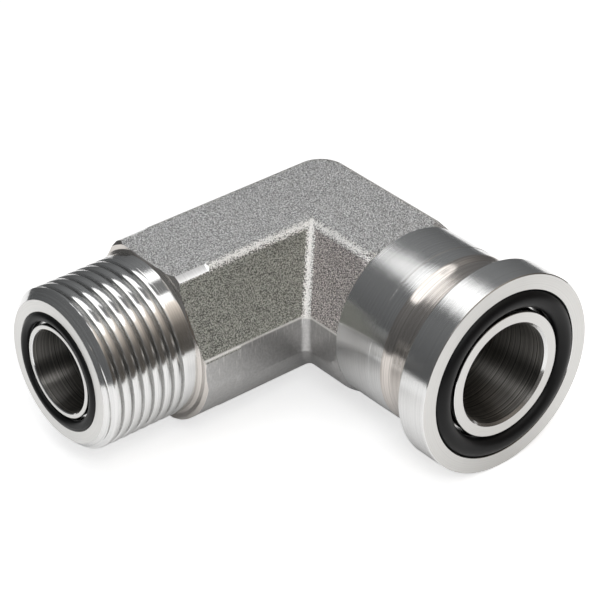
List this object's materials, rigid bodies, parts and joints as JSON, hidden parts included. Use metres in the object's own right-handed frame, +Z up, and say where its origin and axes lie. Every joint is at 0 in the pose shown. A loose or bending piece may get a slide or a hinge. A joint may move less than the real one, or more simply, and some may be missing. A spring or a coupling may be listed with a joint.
{
  "type": "flange elbow fitting",
  "caption": "Right-angle forged steel elbow from a threaded face-seal end to a round flange head, with an O-ring in a groove in each end face.",
  "frame": {"origin": "where the axes of the two bores cross", "axes": "+Z up out of the forging's upper flat, the threaded leg along -X, the flange leg along -Y"},
  "size_m": [0.0777, 0.0672, 0.038],
  "materials": {
    "steel": "shot-blasted forging, bright turned ends",
    "seal": "black satin rubber"
  },
  "bodies": {
    "root": {"elbow_body": "steel", "face_seal_o_ring": "seal", "flange_o_ring": "seal"}
  },
  "joints": []
}
